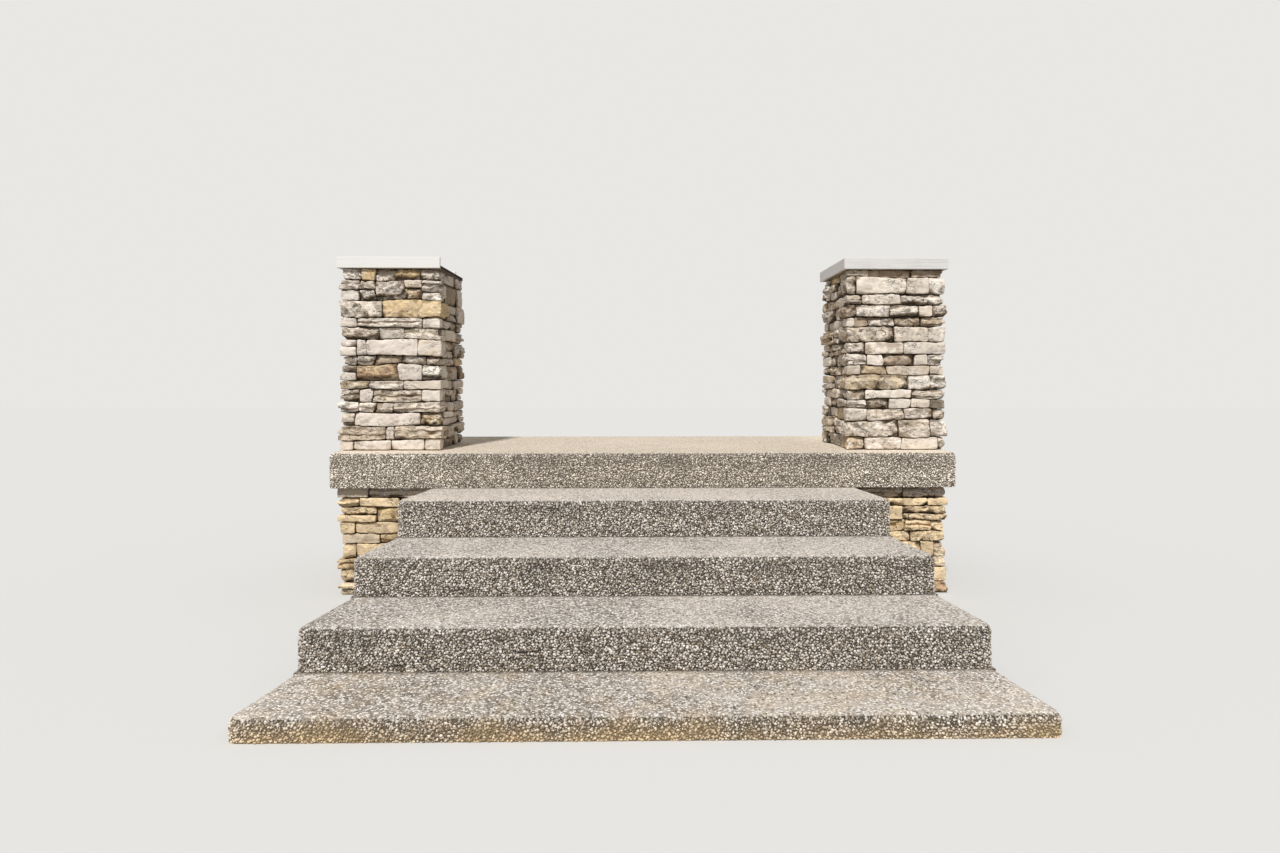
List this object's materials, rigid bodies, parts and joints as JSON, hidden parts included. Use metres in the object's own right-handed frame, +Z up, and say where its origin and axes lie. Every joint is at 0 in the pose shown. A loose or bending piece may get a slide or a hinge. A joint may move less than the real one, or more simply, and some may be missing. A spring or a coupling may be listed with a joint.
{
  "type": "entry steps with landing and stone-faced piers",
  "caption": "Wide poured steps, splayed towards the foot, rise to a landing slab on a stone-faced foundation, between square stone-faced piers with boarded caps.",
  "frame": {"origin": "middle of the whole part in plan, at the lowest ground level", "axes": "+X across the flight to the right as seen by someone who climbs it, +Y from the foot of the steps to the back of the landing, +Z up"},
  "size_m": [3.67, 3.1, 1.996],
  "materials": {
    "aggregate_concrete": "washed exposed aggregate concrete, grey-brown with pale and dark pebbles",
    "masonry_block": "plain grey concrete block",
    "ledge_stone_buff": "dry-laid split ledgestone, buff and tan with grey stones",
    "ledge_stone_grey": "dry-laid split ledgestone, pale beige and grey with a few ochre stones",
    "painted_board": "white exterior paint over sawn board",
    "cap_deck_wood": "weathered deck board"
  },
  "bodies": {
    "root": {"step_1": "aggregate_concrete", "step_2": "aggregate_concrete", "step_3": "aggregate_concrete", "step_4": "aggregate_concrete", "landing_slab": "aggregate_concrete", "foundation_front": "masonry_block", "foundation_back": "masonry_block", "foundation_left": "masonry_block", "foundation_right": "masonry_block", "facing_front_left": "ledge_stone_buff", "facing_front_right": "ledge_stone_buff", "facing_left": "ledge_stone_buff", "facing_right": "ledge_stone_buff", "facing_back": "ledge_stone_buff", "pier_left_core": "masonry_block", "pier_left_front": "ledge_stone_grey", "pier_left_back": "ledge_stone_grey", "pier_left_inner": "ledge_stone_grey", "pier_left_outer": "ledge_stone_grey", "pier_right_core": "masonry_block", "pier_right_front": "ledge_stone_grey", "pier_right_back": "ledge_stone_grey", "pier_right_inner": "ledge_stone_grey", "pier_right_outer": "ledge_stone_grey", "cap_left_deck": "cap_deck_wood", "cap_left_front_board": "painted_board", "cap_left_back_board": "painted_board", "cap_left_outer_board": "painted_board", "cap_right_deck": "cap_deck_wood", "cap_right_front_board": "painted_board", "cap_right_back_board": "painted_board", "cap_right_outer_board": "painted_board", "cap_right_inner_board": "painted_board"}
  },
  "joints": []
}
